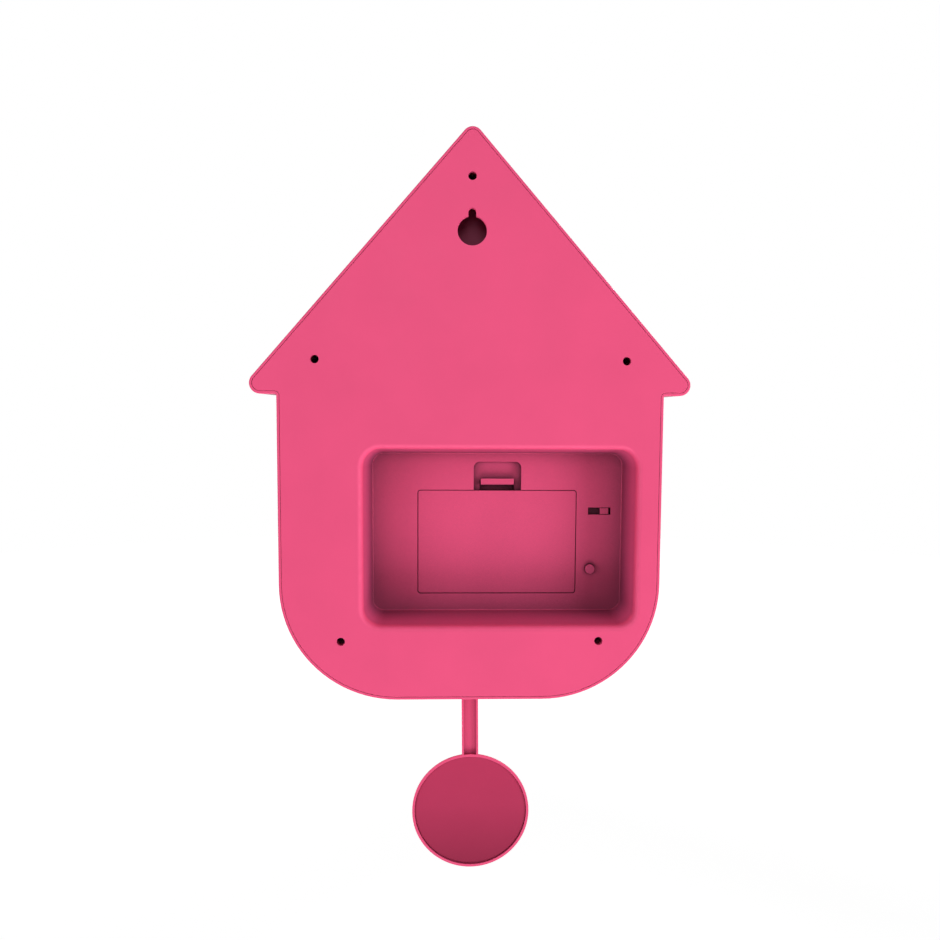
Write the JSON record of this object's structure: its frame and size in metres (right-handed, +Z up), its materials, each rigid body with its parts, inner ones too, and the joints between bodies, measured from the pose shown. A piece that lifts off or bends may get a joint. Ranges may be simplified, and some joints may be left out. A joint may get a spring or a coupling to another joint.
{
  "type": "cuckoo clock",
  "caption": "House-shaped pink plastic cuckoo clock with a keyhole and battery well in its back, a dial, swinging doors for a sliding bird, and a hanging pendulum.",
  "frame": {"origin": "on the back face, where the wall screw carries the top of the keyhole slot", "axes": "+Z up, +Y out of the back into the wall, front towards -Y, +X to the right seen from the front"},
  "size_m": [0.2402, 0.1108, 0.4473],
  "materials": {
    "pink_shell": "satin",
    "bob_pink": "satin",
    "pink_doors": "satin",
    "dial_white": "satin",
    "dial_pink": "satin",
    "hand_dark": "satin",
    "bird_white": "satin",
    "beak_yellow": "satin",
    "eye_black": "gloss",
    "works_white": "satin",
    "works_black": "satin",
    "steel": "satin",
    "motor_metal": "satin",
    "cell_jacket": "satin",
    "brass": "satin",
    "board_green": "satin",
    "speaker_metal": "satin",
    "speaker_paper": "matte",
    "rubber": "matte",
    "coil_copper": "satin"
  },
  "bodies": {
    "case": {"front_housing": "pink_shell", "back_cover": "pink_shell", "door_frame": "pink_doors", "dial": "dial_white", "hour_marks": "dial_pink", "motor_end_cap": "works_white", "chassis": "works_black", "pendulum_bracket": "works_black", "movement_base": "works_black", "movement_cover": "works_black", "board_chips": "works_black", "key_switch": "works_black", "cover_screws": "steel", "board_screws": "steel", "chassis_screws": "steel", "motor_screws": "steel", "bracket_screws": "steel", "door_pins": "steel", "door_springs": "steel", "gear_axles": "steel", "pivot_pin": "steel", "slide_switch": "steel", "plain_contacts": "steel", "sprung_contacts": "steel", "motor_can": "motor_metal", "battery_cells": "cell_jacket", "movement_nut": "brass", "circuit_board": "board_green", "speaker_basket": "speaker_metal", "speaker_magnet": "speaker_metal", "speaker_cone": "speaker_paper", "movement_gasket": "rubber", "pendulum_coil": "coil_copper"},
    "battery_lid": {"battery_door": "pink_shell"},
    "switch": {"switch_knob": "pink_shell", "switch_lever": "works_black"},
    "button": {"push_button": "pink_shell"},
    "minute": {"minute_arbor": "brass", "minute_hand": "hand_dark", "hand_cap": "hand_dark"},
    "reverse": {"reverse_wheel": "works_white"},
    "hour": {"hour_wheel": "works_white", "hour_hand": "hand_dark"},
    "left_leaf": {"left_door": "pink_doors"},
    "right_leaf": {"right_door": "pink_doors"},
    "bird": {"sled": "works_white", "bird_body": "bird_white", "bird_beak": "beak_yellow", "bird_wings": "bird_white", "bird_eyes": "eye_black", "bird_perch": "works_white"},
    "rack_drive": {"rack_gear": "works_white"},
    "idler": {"idler_gear": "works_white"},
    "rotor": {"motor_pinion": "brass"},
    "pendulum": {"pendulum": "pink_shell", "bob_plate": "bob_pink", "pendulum_magnet": "speaker_metal"}
  },
  "joints": [
    {"name": "battery_door_swing", "type": "hinge", "parent": "case", "child": "battery_lid", "pos_m": [-0.0161, -0.025, -0.2119], "axis": [-1, 0, 0], "range_deg": [0, 75]},
    {"name": "switch_slide", "type": "slide", "parent": "case", "child": "switch", "axis": [1, 0, 0], "range_m": [0, 0.0059]},
    {"name": "button_press", "type": "slide", "parent": "case", "child": "button", "axis": [0, -1, 0], "range_m": [0, 0.0009], "stiffness_N_per_m": 800},
    {"name": "minute_spin", "type": "hinge", "parent": "case", "child": "minute", "pos_m": [0, -0.1, -0.18], "axis": [0, 1, 0], "continuous": true},
    {"name": "reverse_spin", "type": "hinge", "parent": "case", "child": "reverse", "pos_m": [-0.012, -0.092, -0.18], "axis": [0, 1, 0], "continuous": true},
    {"name": "hour_spin", "type": "hinge", "parent": "case", "child": "hour", "pos_m": [0, -0.1, -0.18], "axis": [0, 1, 0], "continuous": true},
    {"name": "bird_slide", "type": "slide", "parent": "case", "child": "bird", "axis": [0, -1, 0], "range_m": [0, 0.045]},
    {"name": "left_door_swing", "type": "hinge", "parent": "case", "child": "left_leaf", "pos_m": [-0.0211, -0.0996, -0.054], "axis": [0, 0, -1], "range_deg": [0, 100]},
    {"name": "right_door_swing", "type": "hinge", "parent": "case", "child": "right_leaf", "pos_m": [0.0211, -0.0996, -0.054], "axis": [0, 0, 1], "range_deg": [0, 100]},
    {"name": "rack_gear_spin", "type": "hinge", "parent": "case", "child": "rack_drive", "pos_m": [-0.022, -0.058, -0.075], "axis": [0, 0, -1], "range_deg": [0, 435]},
    {"name": "idler_spin", "type": "hinge", "parent": "case", "child": "idler", "pos_m": [-0.036, -0.058, -0.073], "axis": [0, 0, 1], "range_deg": [0, 1300]},
    {"name": "motor_spin", "type": "hinge", "parent": "case", "child": "rotor", "pos_m": [-0.048, -0.058, -0.072], "axis": [0, 0, -1], "range_deg": [0, 3900]},
    {"name": "pendulum_swing", "type": "hinge", "parent": "case", "child": "pendulum", "pos_m": [0, -0.064, -0.112], "axis": [0, 1, 0], "range_deg": [-6.6, 5.4]}
  ],
  "couplings": [
    {"joint": "reverse_spin", "follows": "minute_spin", "ratio": -0.33333},
    {"joint": "hour_spin", "follows": "minute_spin", "ratio": 0.083333},
    {"joint": "left_door_swing", "follows": "bird_slide", "rad_per_m": 38.7},
    {"joint": "right_door_swing", "follows": "bird_slide", "rad_per_m": 38.7},
    {"joint": "rack_gear_spin", "follows": "bird_slide", "rad_per_m": 166.67},
    {"joint": "idler_spin", "follows": "bird_slide", "rad_per_m": 500},
    {"joint": "motor_spin", "follows": "bird_slide", "rad_per_m": 1500}
  ]
}
